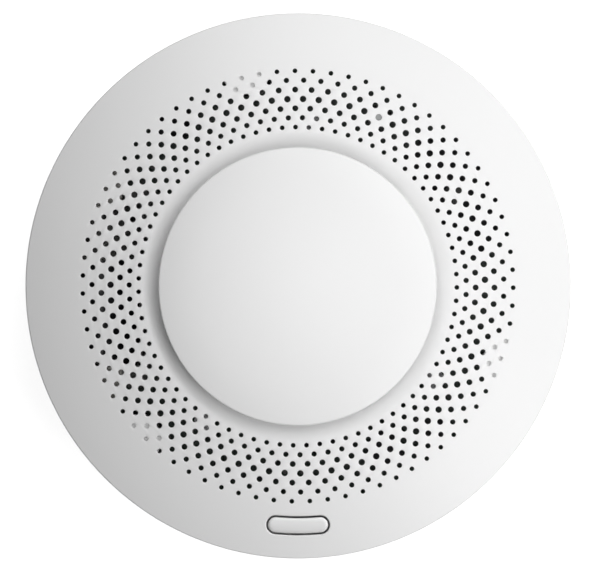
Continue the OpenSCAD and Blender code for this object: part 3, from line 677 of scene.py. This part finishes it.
def centre_cap():
    """Raised cap: two arcs meeting smoothly, a soft edge, an upright wall and four snap legs."""
    meet_r, meet_slope, edge_slope = 22 * MM, radians(9.9), radians(17.6)
    edge, hub = 0.35 * MM, 0.5 * MM
    mid_r = meet_r / sin(meet_slope)
    mid_z = cap_high.z - mid_r
    side_r = (cap_r - meet_r) / (sin(edge_slope) - sin(meet_slope))
    side_x = meet_r - side_r * sin(meet_slope)
    side_z = mid_z + (mid_r - side_r) * cos(meet_slope)

    def top(r, under=0.0):
        """Height of the cap's top at radius r, or of the surface that lies so far under it."""
        if r < meet_r - under * sin(meet_slope):
            return mid_z + sqrt((mid_r - under) ** 2 - r * r)
        return side_z + sqrt((side_r - under) ** 2 - (r - side_x) ** 2)

    soft_r = cap_r - edge
    soft_z = top(soft_r, edge)
    bend = spread(asin((soft_r - side_x) / (side_r - edge)), pi / 2, 6)
    leg_out, leg_in, wall_in = cap_r - 1.65 * MM, cap_r - 3.45 * MM, cap_r - WALL
    seat_z, leg_ring_z = land_z + 1.6 * MM, land_z - 2 * MM
    profile = [(r, top(r)) for r in spread(hub, soft_r - hub, 40)]
    profile += [(soft_r + edge * sin(t), soft_z + edge * cos(t)) for t in bend]
    profile += [(cap_r, land_z), (leg_out, land_z), (leg_out, leg_ring_z)]
    profile += [(leg_in, leg_ring_z), (leg_in, seat_z), (wall_in, seat_z)]
    profile += [(r, top(r, WALL)) for r in spread(wall_in, hub, 30)]
    bm = bmesh.new()
    lathe(bm, profile, 240)
    leg = (leg_in + 0.2 * MM, leg_out - 0.1 * MM), (collar_z - 1 * MM, land_z - 1 * MM)
    hook = (leg_out - 1 * MM, leg_out + 0.7 * MM), (collar_z - 0.9 * MM, collar_z - 0.1 * MM)
    for i in range(4):
        middle = pi / 2 * i + radians(50)
        arc_block(bm, *leg, middle, radians(20))
        arc_block(bm, *hook, middle, radians(19))
    made = finish_mesh("domed_cap", bm, cover_white)
    stands_for(made, "centre_cap", "housing")


# ---------------------------------------------------------------- test button

def test_button():
    """Crowned, round-ended button bent along the ring, with its flange and stem.

    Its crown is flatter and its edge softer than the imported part's.
    """
    stem_low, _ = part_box("test_button")
    wide, long, crown, proud, edge = 1.7 * MM, 6.6 * MM, 8 * MM, 0.25 * MM, 0.55 * MM
    lean = asin(button_at / (CROWN + proud))
    face_z = crown_z + sqrt((CROWN + proud) ** 2 - button_at ** 2)
    crown_r, crown_mid = button_at - crown * sin(lean), face_z - crown * cos(lean)

    def face(inset, drop):
        """Outline on the button's crown, so far inside its side and let down from it."""
        return [Vector((x, y, crown_mid + sqrt(crown ** 2 - (hypot(x, y) - crown_r) ** 2) - drop))
                for x, y in pill(wide - inset, long - inset)]

    flange_z, flange_t, flange_more = sleeve_z - 1.25 * MM, 1.2 * MM, 1.5 * MM
    hub_r, stem_r, overlap = 3.4 * MM, 1.5 * MM, 0.5 * MM
    bm = bmesh.new()
    rows = [row_of(bm, face(inset, 0)) for inset in (1.66 * MM, 1.3 * MM, 0.9 * MM)]
    rows += [row_of(bm, face(away, depth)) for away, depth in fillet(edge)]
    rows.append(row_of(bm, level(pill(wide, long), flange_z + 2 * overlap)))
    closed_stack(bm, rows)
    flange = pill(wide + flange_more, long + flange_more)
    stem = polar(button_at - 1.4 * MM, -pi / 2, 0)
    for outline, low, high in ((flange, flange_z, flange_z + flange_t),
                               (circle(stem, hub_r), flange_z, flange_z + flange_t),
                               (circle(stem, stem_r), stem_low.z, flange_z + overlap)):
        closed_stack(bm, [row_of(bm, level(outline, z)) for z in (low, high)])
    made = finish_mesh("crowned_button", bm, button_finish)
    stands_for(made, "test_button", "button")


# ---------------------------------------------------------------- floor, light and camera

def studio_floor():
    """Pale floor that reads white round the object and keeps its soft shadow."""
    half_side, below, glow = 1.5, 0.1 * MM, 0.8
    bm = bmesh.new()
    bmesh.ops.create_grid(bm, x_segments=1, y_segments=1, size=half_side)
    bmesh.ops.translate(bm, vec=(0, 0, cad_box[0].z - below), verts=bm.verts)
    made = Finish("floor_white", Base_Color=(0.8, 0.8, 0.8), Roughness=0.9)
    seen = rays(made.tree, "Camera", "Glossy", "Transmission")
    made.set(Emission_Color=(1, 1, 1), Emission_Strength=seen * glow)
    floor = mesh_object("studio_floor", bm, made)


def white_room(ambient):
    """World: white where it is seen, directly or through a clear piece, and dim otherwise."""
    world = bpy.data.worlds.new("white_room")
    bpy.context.scene.world = world
    world.use_nodes = True
    tree = world.node_tree
    seen = rays(tree, "Camera", "Transmission")
    back = tree.nodes["Background"]
    back.inputs["Color"].default_value = (1, 1, 1, 1)
    plug(tree, back.inputs["Strength"], seen * (1 - ambient) + ambient)


def soft_box(name, azimuth, power, elevation=40, distance=0.8, size=0.5):
    """Square area lamp aimed at the frame's origin; azimuth counts from +X towards +Y."""
    lamp = bpy.data.lights.new(name, "AREA")
    lamp.shape = "SQUARE"
    lamp.size = size
    lamp.energy = power
    made = bpy.data.objects.new(name, lamp)
    bpy.context.scene.collection.objects.link(made)
    way = polar(cos(radians(elevation)), radians(azimuth), sin(radians(elevation)))
    made.location = way * distance
    made.rotation_euler = way.to_track_quat("Z", "Y").to_euler()
    made.visible_camera = False


def front_camera():
    """Long lens nearly square on to the front, its view a little wider than the rim."""
    margin, distance, sensor = 1.1, 3.6, 36
    aside, above = radians(0.9), radians(0.6)
    aim_x, aim_y, aim_share = 0.37 * MM, 0.18 * MM, 0.7  # the share is of the cover's height
    rim_low, rim_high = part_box("front_cover")
    data = bpy.data.cameras.new("front_camera")
    data.sensor_width = sensor
    data.lens = sensor * distance / ((rim_high.x - rim_low.x) * margin)
    data.clip_end = 10
    made = bpy.data.objects.new("front_camera", data)
    bpy.context.scene.collection.objects.link(made)
    target = Vector((aim_x, aim_y, rim_low.z + (rim_high.z - rim_low.z) * aim_share))
    made.location = target + Vector((sin(aside), sin(above), 1)) * distance
    made.rotation_euler = (-above, aside, 0)
    bpy.context.scene.camera = made


front_cover()
centre_cap()
test_button()
studio_floor()
white_room(ambient=0.08)
soft_box("window", azimuth=0, power=1.56)
soft_box("window_upper", azimuth=45, power=2.34)
soft_box("fill_lower", azimuth=225, power=0.62)
soft_box("near_above", azimuth=0, power=0.046, elevation=89.9, distance=0.18, size=0.09)
soft_box("near_lower", azimuth=315, power=0.215, distance=0.28, size=0.14)
soft_box("near_upper", azimuth=90, power=0.155, distance=0.28, size=0.14)
front_camera()
bpy.context.scene.view_settings.view_transform = "Standard"
